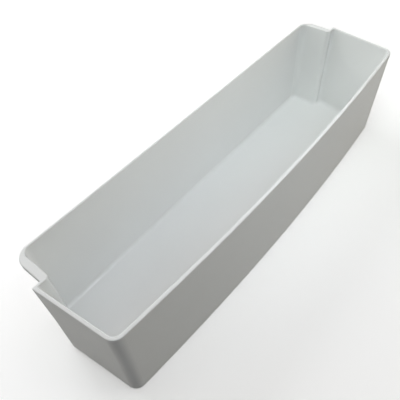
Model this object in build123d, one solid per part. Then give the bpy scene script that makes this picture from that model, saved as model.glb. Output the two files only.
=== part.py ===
from build123d import *

import os
from math import asin, cos, degrees, hypot, sin, sqrt

# Overall size in millimetres: length along the door, depth from the back face to the middle of the front
LENGTH = 440.0
DEPTH = 119.5
HEIGHT = 106.5

# Front wall: how far its arc bulges, and how far its foot stands in from its rim
FRONT_BOW = 8.7
FRONT_LEAN = 2.0

# Back wall: how far its foot stands in from its rim
BACK_LEAN = 1.0

# End walls: how far they close in for each millimetre towards the front
END_TAPER = 0.102

# End walls: they turn to a wider flare at this height; set in from the rim there and at the underside
FLARE_HEIGHT = 59.0
FLARE_SET_IN = 1.4
FOOT_SET_IN = 2.0

# Notches at the two back corners, which clear the ribs of the door liner, with a narrower back between them
NOTCH_DEPTH = 34.0
NOTCH_WIDTH = 12.1
NOTCH_LEAN = 0.3
BACK_SIDE_LEAN = 2.0

# Hanging lips along the sides of the narrow back, each turned down at its edge
LIP_REACH = 4.6
LIP_HEIGHT = 5.0
LIP_PLATE = 2.4
LIP_EDGE = 1.8

# Wall thicknesses
FRONT_WALL = 3.2
END_WALL = 3.2
BACK_WALL = 2.2
SIDE_WALL = 2.4
NOTCH_WALL = 2.6
FLOOR = 2.8

# Corner radii in plan
FRONT_CORNER = 10.0
LIP_CORNER = 13.5
NOTCH_EDGE = 1.2
NOTCH_ROOT = 1.5
INNER_BACK_CORNER = 7.0
INNER_NOTCH_EDGE = 4.0
INNER_NOTCH_ROOT = 2.0

# Radii round the foot outside, round the floor inside, and along both edges of the rim
FOOT_RADIUS = 2.5
FLOOR_RADIUS = 4.0
RIM_RADIUS = 0.8

# How far joined blocks and cutters run past a face, and how much larger than its edge radius a corner is
RUN_PAST = 1.0
CORNER_MARGIN = 1.25

# Points closer than this are one point
SAME_POINT = 1e-6

BACK_Y = DEPTH / 2
NOTCH_Y = BACK_Y - NOTCH_DEPTH
HALF_LENGTH = LENGTH / 2
HALF_BACK = HALF_LENGTH - NOTCH_WIDTH
HALF_FRONT = HALF_LENGTH - END_TAPER * (DEPTH - NOTCH_DEPTH)

# The wall's back corners start to turn before the lips do, so that they stay under them
BACK_CORNER = LIP_CORNER - LIP_REACH + RUN_PAST

# The front is part of one cone about an upright axis behind the shelf; its middle spans this half angle
FRONT_RADIUS = (HALF_LENGTH**2 + FRONT_BOW**2) / (2 * FRONT_BOW)
AXIS_Y = FRONT_RADIUS - DEPTH / 2
FRONT_SPAN = asin((HALF_FRONT - FOOT_SET_IN - END_WALL - 2 * FRONT_CORNER) / FRONT_RADIUS)


def lean(amount, z):
    """How far a straight leaning wall stands in at a height, from nothing at the rim."""
    return amount * (1 - z / HEIGHT)


def end_x(y, z):
    """Outer face of the right end wall at a place and height, flared above and steeper below."""
    if z >= FLARE_HEIGHT:
        set_in = FLARE_SET_IN * (HEIGHT - z) / (HEIGHT - FLARE_HEIGHT)
    else:
        set_in = FOOT_SET_IN + (FLARE_SET_IN - FOOT_SET_IN) * z / FLARE_HEIGHT
    return HALF_LENGTH - set_in + END_TAPER * (y - NOTCH_Y)


def between(low, high, z):
    """A radius that changes evenly from the underside to the rim."""
    return low + (high - low) * z / HEIGHT


def line_corner(before, corner, after, radius):
    """Start, middle and end of the arc that rounds a corner between two straight lines."""
    tip = Vector(*corner)
    arm_a = (Vector(*before) - tip).normalized()
    arm_b = (Vector(*after) - tip).normalized()
    cosine = arm_a.dot(arm_b)
    reach = radius / sqrt((1 - cosine) / (1 + cosine))
    drop = radius / sqrt((1 - cosine) / 2) - radius
    inward = (arm_a + arm_b).normalized()
    points = [tip + step for step in (arm_a * reach, inward * drop, arm_b * reach)]
    return [(point.X, point.Y) for point in points]


def front_point(angle, radius):
    """A point of the bowed front, by its angle from the middle."""
    return (radius * sin(angle), AXIS_Y - radius * cos(angle))


def front_corner(edge, front_radius, radius):
    """Arc that rounds a tapered end into the bowed front, then the arc on to the front's plain middle."""
    forward = Vector(-END_TAPER, -1).normalized()
    outward = Vector(1, -END_TAPER).normalized()
    axis = Vector(0, AXIS_Y)
    start = Vector(*edge) - outward * radius - axis
    along = start.dot(forward)
    run = sqrt(along**2 - start.dot(start) + (front_radius - radius) ** 2) - along
    reach = start + forward * run
    centre = axis + reach
    meet = asin(reach.X / (front_radius - radius))
    middle = centre + (outward + reach.normalized()).normalized() * radius
    rounded = [centre + outward * radius, middle, axis + reach.normalized() * front_radius]
    onward = [front_point(angle, front_radius) for angle in (meet, (meet + FRONT_SPAN) / 2, FRONT_SPAN)]
    return [(point.X, point.Y) for point in rounded], onward


def plan(z, y_back, x_back, y_notch, x_end, front_radius, radii):
    """The tub's outline at a height as edges, from the back round by the right end to the left end."""
    r_back, r_root, r_edge, r_front = radii
    middle = (0.0, y_back)
    back = (x_back, y_back)
    root = (x_back, y_notch)
    edge = (x_end, y_notch)
    rounded, onward = front_corner(edge, front_radius, r_front)
    arcs = [
        line_corner(middle, back, root, r_back),
        line_corner(back, root, edge, r_root),
        line_corner(root, edge, rounded[0], r_edge),
        rounded,
        onward,
    ]
    nose = [onward[-1], front_point(0.0, front_radius), (-onward[-1][0], onward[-1][1])]
    mirrored = [[(-x, y) for x, y in reversed(arc)] for arc in reversed(arcs)]
    last = mirrored[-1][-1]
    edges = []
    for arc in [*arcs, nose, *mirrored]:
        start, through, end = [(x, y, z) for x, y in arc]
        if hypot(start[0] - last[0], start[1] - last[1]) > SAME_POINT:
            edges.append(Line((*last, z), start))
        edges.append(ThreePointArc(start, through, end))
        last = end[:2]
    return edges


def outer_plan(z):
    """Outline of the outside faces."""
    edge_radius = between(max(NOTCH_EDGE, FOOT_RADIUS * CORNER_MARGIN), NOTCH_EDGE, z)
    y_notch = NOTCH_Y - lean(NOTCH_LEAN, z)
    return plan(
        z,
        BACK_Y - lean(BACK_LEAN, z),
        HALF_BACK - lean(BACK_SIDE_LEAN, z),
        y_notch,
        end_x(y_notch, z),
        FRONT_RADIUS - lean(FRONT_LEAN, z),
        (BACK_CORNER, NOTCH_ROOT, edge_radius, FRONT_CORNER),
    )


def inner_plan(z):
    """Outline of the inside faces, one wall thickness in from the outside ones."""
    least = FLOOR_RADIUS * CORNER_MARGIN
    back_radius = between(max(INNER_BACK_CORNER, least), INNER_BACK_CORNER, z)
    root_radius = between(max(INNER_NOTCH_ROOT, least), INNER_NOTCH_ROOT, z)
    y_notch = NOTCH_Y - lean(NOTCH_LEAN, z) - NOTCH_WALL
    return plan(
        z,
        BACK_Y - lean(BACK_LEAN, z) - BACK_WALL,
        HALF_BACK - lean(BACK_SIDE_LEAN, z) - SIDE_WALL,
        y_notch,
        end_x(y_notch, z) - END_WALL * hypot(1, END_TAPER),
        FRONT_RADIUS - lean(FRONT_LEAN, z) - FRONT_WALL,
        (back_radius, INNER_NOTCH_EDGE, root_radius, max(FRONT_CORNER - FRONT_WALL, least)),
    )


def lip_plan(z, y_back, set_in, side):
    """Outline of one lip, run into the back wall and the notch wall; set_in shrinks its free sides."""
    y_free = y_back - set_in
    y_front = NOTCH_Y - RUN_PAST
    x_tip = HALF_BACK + LIP_REACH - set_in
    x_root = HALF_BACK - LIP_CORNER - RUN_PAST
    front = (x_tip, y_front)
    rounded = line_corner((x_root, y_free), (x_tip, y_free), front, LIP_CORNER - set_in)
    outline = [(x_root, y_free), *rounded, front, (x_root, y_front)]
    a, b, c, d, e, f = [(side * x, y, z) for x, y in outline]
    return [Line(a, b), ThreePointArc(b, c, d), Line(d, e), Line(e, f), Line(f, a)]


def wall(low, high):
    """The face between two edges, one above the other: flat, conical for the front's middle, or ruled."""
    if low.geom_type == GeomType.LINE:
        return Face(Wire.make_polygon([low @ 0, low @ 1, high @ 1, high @ 0]))
    if abs((low @ 0.5).X) < RUN_PAST:
        axis = Axis((0, AXIS_Y, 0), (0, 0, 1))
        return Face.revolve(Line(low @ 0, high @ 0), degrees(-2 * FRONT_SPAN), axis)
    return Face.make_surface_from_curves(low, high)


def skin(plans):
    """The solid inside a stack of outlines."""
    faces = [Face(Wire(plans[0])), Face(Wire(plans[-1]))]
    for low_plan, high_plan in zip(plans, plans[1:]):
        faces += [wall(low, high) for low, high in zip(low_plan, high_plan)]
    return Solid(Shell(faces)).clean()


# Outside of the tub, with its foot rounded
tub = skin([outer_plan(z) for z in (0.0, FLARE_HEIGHT, HEIGHT)])
tub = fillet(tub.edges().group_by(Axis.Z)[0], FOOT_RADIUS)

# Lips: a block each, hollowed from below to leave the plate and the turned-down edge
lip_foot = HEIGHT - LIP_HEIGHT
back_at_foot = BACK_Y - lean(BACK_LEAN, lip_foot)
hollow_levels = (lip_foot - RUN_PAST, HEIGHT - LIP_PLATE)
for side in (1, -1):
    block = skin([lip_plan(lip_foot, back_at_foot, 0.0, side), lip_plan(HEIGHT, BACK_Y, 0.0, side)])
    hollow = skin([lip_plan(z, back_at_foot, LIP_EDGE, side) for z in hollow_levels])
    tub = tub + (block - hollow)

# Inside of the tub, with its floor edge rounded
core = skin([inner_plan(z) for z in (FLOOR, FLARE_HEIGHT, HEIGHT)])
core = fillet(core.edges().group_by(Axis.Z)[0], FLOOR_RADIUS)
shelf = tub - core

# Both edges of the rim
shelf = fillet(shelf.edges().group_by(Axis.Z)[-1], RIM_RADIUS)

os.makedirs("parts", exist_ok=True)
export_step(shelf, "parts/door_shelf.step")
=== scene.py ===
from math import cos, radians, sin

import bpy
from mathutils import Matrix, Vector

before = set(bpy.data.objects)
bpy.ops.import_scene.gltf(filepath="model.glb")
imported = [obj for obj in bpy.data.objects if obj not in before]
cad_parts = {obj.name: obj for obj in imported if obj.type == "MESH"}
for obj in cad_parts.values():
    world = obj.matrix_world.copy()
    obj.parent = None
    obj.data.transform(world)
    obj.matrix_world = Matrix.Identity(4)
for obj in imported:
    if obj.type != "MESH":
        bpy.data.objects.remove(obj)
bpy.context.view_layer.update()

scene = bpy.context.scene
scene.view_settings.view_transform = "Standard"

# Camera: place, aim and range of sight in metres, roll in degrees, lens and sensor in millimetres
CAMERA_AT = (-0.25860, -0.17621, 0.38767)
CAMERA_AIM = (-0.04445, 0.01627, 0.045)
CAMERA_ROLL = 3.5729
CAMERA_LENS = 40.424
CAMERA_SENSOR = 36.0
CAMERA_NEAR = 0.01
CAMERA_FAR = 50.0

# Lamps: place, aim, size across, spread in degrees, power and colour of the light
MIDDLE = (0.0, 0.0, 0.05)
LAMPS = {
    "back": ((0.0, 1.261, 0.985), MIDDLE, 1.2, 180.0, 11.8, (0.98, 0.99, 1.0)),
    "back_left": ((-1.1, 0.9, 0.4), MIDDLE, 0.9, 180.0, 2.9, (1.0, 0.96, 0.84)),
    "front_right": ((1.093, -1.093, 0.414), MIDDLE, 1.0, 180.0, 6.5, (1.0, 0.94, 0.81)),
    "overhead": ((0.05, 0.12, 0.6), MIDDLE, 0.6, 180.0, 0.64, (1.0, 0.97, 0.93)),
    "overhead_front": ((0.0, -0.12, 0.6), MIDDLE, 0.5, 180.0, 0.46, (0.95, 0.96, 1.0)),
    "wall_left": ((-0.1, -0.45, 0.75), (-0.02, 0.05, 0.08), 0.25, 40.0, 0.047, (0.88, 1.0, 0.98)),
    "wall_right": ((0.1, -0.35, 0.8), (0.0, 0.05, 0.08), 0.25, 40.0, 0.044, (0.82, 0.85, 1.0)),
    "far_end": ((-0.3, -0.05, 0.8), (0.2, 0.0, 0.06), 0.25, 30.0, 0.055, (0.88, 1.0, 0.95)),
}

# Strength of the world's even light; the white that is seen has a strength of 1
WORLD_LIGHT = 0.1

# Part of a noise's range that is spread over the full range of a look
NOISE_LOW = 0.3
NOISE_HIGH = 0.7

# Plastic: colour of the clouding at its darkest and palest, and how strongly the surface reflects
CLOUD_DARK = (0.852, 0.862, 0.857, 1.0)
CLOUD_PALE = (0.868, 0.878, 0.873, 1.0)
PLASTIC_IOR = 1.5

# Plastic: lowest and highest roughness inside and outside
POLISHED = (0.04, 0.07)
SATIN = (0.48, 0.54)

# Faces that look away from this point, in metres, are outside; the finish turns over within this distance
TUB_POINT = (0.0, 0.0, 0.1)
TURN = 0.004

# Noises over the plastic: cycles per metre and detail
CLOUDS = (14.0, 3.0)
PATCHES = (60.0, 4.0)
RIPPLE = (45.0, 2.0)
GRAIN = (1400.0, 2.0)

# Reliefs of the plastic: strength, and height in metres
RIPPLE_RELIEF = (0.25, 0.00012)
GRAIN_RELIEF = (0.08, 0.00002)

# Floor: size and drop below the part in metres, and its greys as it throws light back and as it is seen
FLOOR_SIZE = 8.0
FLOOR_DROP = 0.0002
FLOOR_DULL = (0.2, 0.2, 0.2, 1.0)
WHITE = (1.0, 1.0, 1.0, 1.0)

# Glow of the floor as it is seen: low up to the first distance in metres, which paints shade on the floor
# about the object, white from the second one on
GLOW_FROM = 0.2
GLOW_TO = 1.1
PAINTED_SHADE_GLOW = 0.33
GLOW_WHITE = 1.0


def new_material(name):
    """A node material with an empty tree and its output node."""
    material = bpy.data.materials.new(name)
    material.use_nodes = True
    tree = material.node_tree
    tree.nodes.clear()
    return material, tree, tree.nodes.new("ShaderNodeOutputMaterial")


def noise(tree, coordinate, kind):
    """A noise texture over the object's own coordinates."""
    scale, detail = kind
    node = tree.nodes.new("ShaderNodeTexNoise")
    node.inputs["Scale"].default_value = scale
    node.inputs["Detail"].default_value = detail
    tree.links.new(coordinate, node.inputs["Vector"])
    return node.outputs["Fac"]


def map_range(tree, value, start, end, low=0.0, high=1.0):
    """A node that maps a value from start to end onto low to high."""
    node = tree.nodes.new("ShaderNodeMapRange")
    node.inputs["From Min"].default_value = start
    node.inputs["From Max"].default_value = end
    node.inputs["To Min"].default_value = low
    node.inputs["To Max"].default_value = high
    tree.links.new(value, node.inputs["Value"])
    return node


def larger(tree, first, second):
    """The larger of two values, where the second may be a plain number."""
    node = tree.nodes.new("ShaderNodeMath")
    node.operation = "MAXIMUM"
    tree.links.new(first, node.inputs[0])
    if isinstance(second, float):
        node.inputs[1].default_value = second
    else:
        tree.links.new(second, node.inputs[1])
    return node.outputs["Value"]


def relief(tree, height, shape):
    """A bump node over a height."""
    strength, distance = shape
    node = tree.nodes.new("ShaderNodeBump")
    node.inputs["Strength"].default_value = strength
    node.inputs["Distance"].default_value = distance
    tree.links.new(height, node.inputs["Height"])
    return node


def outside(tree, own):
    """One on the outer walls, the rim and the underside, nought on the walls and the floor inside."""
    away = tree.nodes.new("ShaderNodeVectorMath")
    away.operation = "SUBTRACT"
    away.inputs[1].default_value = TUB_POINT
    tree.links.new(own.outputs["Object"], away.inputs[0])
    facing = tree.nodes.new("ShaderNodeVectorMath")
    facing.operation = "DOT_PRODUCT"
    tree.links.new(away.outputs["Vector"], facing.inputs[0])
    tree.links.new(own.outputs["Normal"], facing.inputs[1])
    return map_range(tree, facing.outputs["Value"], -TURN, TURN).outputs["Result"]


def white_plastic():
    """Moulded plastic, polished inside and satin outside, with clouding, a slight ripple and a grain."""
    material, tree, output = new_material("white_plastic")
    shader = tree.nodes.new("ShaderNodeBsdfPrincipled")
    shader.inputs["IOR"].default_value = PLASTIC_IOR
    tree.links.new(shader.outputs["BSDF"], output.inputs["Surface"])
    own = tree.nodes.new("ShaderNodeTexCoord")
    place = own.outputs["Object"]

    ramp = tree.nodes.new("ShaderNodeValToRGB")
    dark, pale = ramp.color_ramp.elements
    dark.position = NOISE_LOW
    dark.color = CLOUD_DARK
    pale.position = NOISE_HIGH
    pale.color = CLOUD_PALE
    tree.links.new(noise(tree, place, CLOUDS), ramp.inputs["Fac"])
    tree.links.new(ramp.outputs["Color"], shader.inputs["Base Color"])

    patches = noise(tree, place, PATCHES)
    finish = tree.nodes.new("ShaderNodeMix")
    tree.links.new(outside(tree, own), finish.inputs["Factor"])
    for side, roughness in (("A", POLISHED), ("B", SATIN)):
        uneven = map_range(tree, patches, NOISE_LOW, NOISE_HIGH, *roughness)
        tree.links.new(uneven.outputs["Result"], finish.inputs[side])
    tree.links.new(finish.outputs["Result"], shader.inputs["Roughness"])

    ripple = relief(tree, noise(tree, place, RIPPLE), RIPPLE_RELIEF)
    grain = relief(tree, noise(tree, place, GRAIN), GRAIN_RELIEF)
    tree.links.new(ripple.outputs["Normal"], grain.inputs["Normal"])
    tree.links.new(grain.outputs["Normal"], shader.inputs["Normal"])
    return material


def seen_directly(tree):
    """One for rays that show the stage: from the camera, by reflection or through glass."""
    path = tree.nodes.new("ShaderNodeLightPath")
    first = larger(tree, path.outputs["Is Camera Ray"], path.outputs["Is Glossy Ray"])
    return larger(tree, first, path.outputs["Is Transmission Ray"])


def glow_with_painted_shade(tree):
    """Glow of the floor by distance: low about the object as painted shade, white where it meets the
    backdrop.
    """
    away = tree.nodes.new("ShaderNodeVectorMath")
    away.operation = "LENGTH"
    tree.links.new(tree.nodes.new("ShaderNodeTexCoord").outputs["Object"], away.inputs[0])
    rise = map_range(tree, away.outputs["Value"], GLOW_FROM, GLOW_TO, PAINTED_SHADE_GLOW, GLOW_WHITE)
    rise.interpolation_type = "SMOOTHSTEP"
    return rise.outputs["Result"]


def pale_floor():
    """White where it is seen, with the object's shadow and a painted shade about the object; a dull grey
    in the light that it throws back.
    """
    material, tree, output = new_material("pale_floor")
    dull = tree.nodes.new("ShaderNodeBsdfDiffuse")
    dull.inputs["Color"].default_value = FLOOR_DULL
    matt = tree.nodes.new("ShaderNodeBsdfDiffuse")
    matt.inputs["Color"].default_value = WHITE
    glow = tree.nodes.new("ShaderNodeEmission")
    glow.inputs["Color"].default_value = WHITE
    # The glow is lower about the object: painted shade on the floor around it
    tree.links.new(glow_with_painted_shade(tree), glow.inputs["Strength"])
    bright = tree.nodes.new("ShaderNodeAddShader")
    tree.links.new(matt.outputs["BSDF"], bright.inputs[0])
    tree.links.new(glow.outputs["Emission"], bright.inputs[1])
    mix = tree.nodes.new("ShaderNodeMixShader")
    tree.links.new(seen_directly(tree), mix.inputs["Fac"])
    tree.links.new(dull.outputs["BSDF"], mix.inputs[1])
    tree.links.new(bright.outputs["Shader"], mix.inputs[2])
    tree.links.new(mix.outputs["Shader"], output.inputs["Surface"])
    return material


# Looks of the moulded piece
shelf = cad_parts["door_shelf"]
shelf.data.materials.clear()
shelf.data.materials.append(white_plastic())
for face in shelf.data.polygons:
    face.material_index = 0

# Floor
bpy.ops.mesh.primitive_plane_add(size=FLOOR_SIZE, location=(0.0, 0.0, -FLOOR_DROP))
floor = bpy.context.object
floor.name = "floor"
floor.data.materials.append(pale_floor())

# World: white where it is seen, an even low light elsewhere
world = bpy.data.worlds.new("studio")
scene.world = world
world.use_nodes = True
tree = world.node_tree
tree.nodes.clear()
output = tree.nodes.new("ShaderNodeOutputWorld")
white = tree.nodes.new("ShaderNodeBackground")
white.inputs["Color"].default_value = WHITE
tree.links.new(larger(tree, seen_directly(tree), WORLD_LIGHT), white.inputs["Strength"])
tree.links.new(white.outputs["Background"], output.inputs["Surface"])

# Lamps
for name, (place, aim, size, beam, power, colour) in LAMPS.items():
    light = bpy.data.lights.new(name, "AREA")
    light.shape = "SQUARE"
    light.size = size
    light.spread = radians(beam)
    light.energy = power
    light.color = colour
    lamp = bpy.data.objects.new(name, light)
    lamp.location = place
    lamp.rotation_mode = "QUATERNION"
    lamp.rotation_quaternion = (Vector(aim) - Vector(place)).to_track_quat("-Z", "Y")
    scene.collection.objects.link(lamp)

# Camera
ahead = (Vector(CAMERA_AIM) - Vector(CAMERA_AT)).normalized()
right = ahead.cross(Vector((0.0, 0.0, 1.0))).normalized()
down = ahead.cross(right)
roll = radians(CAMERA_ROLL)
turned_right = right * cos(roll) + down * sin(roll)
turned_down = down * cos(roll) - right * sin(roll)
lens = bpy.data.cameras.new("camera")
lens.sensor_width = CAMERA_SENSOR
lens.lens = CAMERA_LENS
lens.clip_start = CAMERA_NEAR
lens.clip_end = CAMERA_FAR
camera = bpy.data.objects.new("camera", lens)
camera.matrix_world = Matrix((turned_right, -turned_down, -ahead)).transposed().to_4x4()
camera.location = CAMERA_AT
scene.collection.objects.link(camera)
scene.camera = camera
